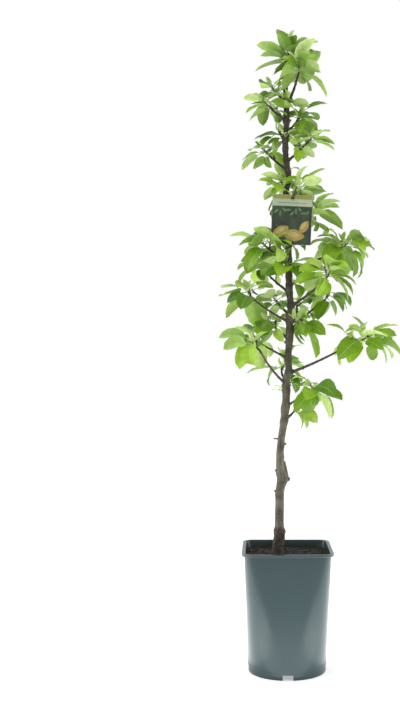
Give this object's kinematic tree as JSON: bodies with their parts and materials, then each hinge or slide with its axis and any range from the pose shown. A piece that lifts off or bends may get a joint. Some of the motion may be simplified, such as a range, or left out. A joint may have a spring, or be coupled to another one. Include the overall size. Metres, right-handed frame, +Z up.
{
  "type": "potted columnar pear tree",
  "caption": "Young columnar pear tree: a slender trunk with short boughs and spur clusters of leaves, in a square-rimmed nursery pot, with a card label hung on a spur.",
  "frame": {"origin": "centre of the pot's flat underside", "axes": "+Z up along the trunk, +X to the right and +Y away as seen from the front, where the card label faces the viewer"},
  "size_m": [0.2641, 0.2036, 0.9319],
  "materials": {
    "pot": "moulded, satin, blue-grey",
    "soil": "dark, crumbly peat compost",
    "label": "printed card, semi-gloss",
    "bark": "young smooth bark, matt",
    "leaf": "fresh green leaves, satin"
  },
  "bodies": {
    "root": {"pot": "pot", "soil": "soil", "label": "label", "trunk": "bark", "bough_low_right": "bark", "bough_back_low": "bark", "bough_left_low": "bark", "bough_right_long": "bark", "bough_left_mid": "bark", "bough_right_mid": "bark", "bough_back_mid": "bark", "bough_left_upper": "bark", "bough_right_upper": "bark", "bough_left_shoulder": "bark", "bough_right_shoulder": "bark", "bough_back_shoulder": "bark", "bough_label_spur": "bark", "bough_fork": "bark", "leaves_low_inner": "leaf", "leaves_low_right": "leaf", "leaves_back_low": "leaf", "leaves_left_low": "leaf", "leaves_right_long": "leaf", "leaves_left_mid": "leaf", "leaves_left_spur": "leaf", "leaves_right_mid": "leaf", "leaves_right_spur": "leaf", "leaves_back_mid": "leaf", "leaves_left_upper": "leaf", "leaves_left_inner": "leaf", "leaves_right_upper": "leaf", "leaves_left_shoulder": "leaf", "leaves_front_mid": "leaf", "leaves_front_shoulder": "leaf", "leaves_right_shoulder": "leaf", "leaves_left_heart": "leaf", "leaves_back_shoulder": "leaf", "leaves_label_right": "leaf", "leaves_label_spur": "leaf", "leaves_back_heart": "leaf", "leaves_front_high": "leaf", "leaves_left_high": "leaf", "leaves_right_high": "leaf", "leaves_back_high": "leaf", "leaves_right_top": "leaf", "leaves_left_top": "leaf", "leaves_front_top": "leaf", "leaves_high_left": "leaf", "leaves_fork": "leaf", "leaves_top": "leaf"}
  },
  "joints": []
}
